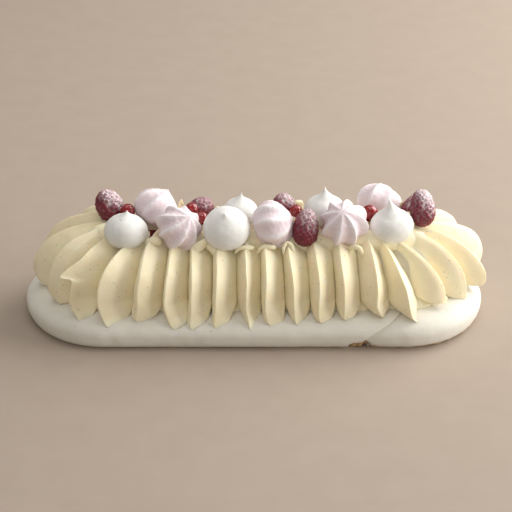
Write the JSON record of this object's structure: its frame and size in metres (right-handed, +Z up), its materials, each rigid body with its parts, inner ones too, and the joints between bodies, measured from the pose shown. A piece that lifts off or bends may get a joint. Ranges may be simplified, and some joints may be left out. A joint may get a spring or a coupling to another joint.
{
  "type": "vacherin cake",
  "caption": "Oblong frozen meringue cake: a round-ended white base, cream piped in upright fins over a sorbet log, and meringues, raspberries and redcurrants along the top.",
  "frame": {"origin": "middle of the base's flat underside, which rests on the plate or board", "axes": "+X along the cake, towards the end with the pointed white drop and the pair of raspberries; -Y towards the side the picture shows; +Z up"},
  "size_m": [0.3151, 0.112, 0.0889],
  "materials": {
    "white_meringue": "dry, very slightly rough baked meringue",
    "raspberry_sorbet": "moist dark red sorbet",
    "vanilla_cream": "smooth pale yellow whipped cream with fine vanilla specks",
    "pink_meringue": "dry pale pink baked meringue",
    "raspberry": "frosted dark red berry",
    "redcurrant": "shiny clear red skin"
  },
  "bodies": {
    "root": {"cream_stroke_01": "vanilla_cream", "cream_stroke_02": "vanilla_cream", "cream_stroke_03": "vanilla_cream", "cream_stroke_04": "vanilla_cream", "cream_stroke_05": "vanilla_cream", "cream_stroke_06": "vanilla_cream", "cream_stroke_07": "vanilla_cream", "cream_stroke_08": "vanilla_cream", "cream_stroke_09": "vanilla_cream", "cream_stroke_10": "vanilla_cream", "cream_stroke_11": "vanilla_cream", "cream_stroke_12": "vanilla_cream", "cream_stroke_13": "vanilla_cream", "cream_stroke_14": "vanilla_cream", "cream_stroke_15": "vanilla_cream", "cream_stroke_16": "vanilla_cream", "cream_stroke_17": "vanilla_cream", "cream_stroke_18": "vanilla_cream", "cream_stroke_19": "vanilla_cream", "cream_stroke_20": "vanilla_cream", "cream_stroke_21": "vanilla_cream", "cream_stroke_22": "vanilla_cream", "cream_stroke_23": "vanilla_cream", "cream_stroke_24": "vanilla_cream", "cream_stroke_25": "vanilla_cream", "cream_stroke_26": "vanilla_cream", "cream_stroke_27": "vanilla_cream", "cream_stroke_28": "vanilla_cream", "cream_stroke_29": "vanilla_cream", "cream_stroke_30": "vanilla_cream", "cream_stroke_31": "vanilla_cream", "cream_stroke_32": "vanilla_cream", "cream_stroke_33": "vanilla_cream", "cream_stroke_34": "vanilla_cream", "meringue_base": "white_meringue", "meringue_drop_1": "white_meringue", "meringue_drop_2": "white_meringue", "meringue_drop_3": "white_meringue", "meringue_drop_4": "white_meringue", "meringue_drop_5": "white_meringue", "meringue_star_1": "pink_meringue", "meringue_star_2": "pink_meringue", "meringue_star_3": "pink_meringue", "meringue_star_4": "pink_meringue", "meringue_star_5": "pink_meringue", "raspberry_1": "raspberry", "raspberry_2": "raspberry", "raspberry_3": "raspberry", "raspberry_4": "raspberry", "raspberry_5": "raspberry", "raspberry_6": "raspberry", "raspberry_sorbet": "raspberry_sorbet", "redcurrant_1": "redcurrant", "redcurrant_2": "redcurrant", "redcurrant_3": "redcurrant", "redcurrant_4": "redcurrant", "redcurrant_5": "redcurrant"}
  },
  "joints": []
}
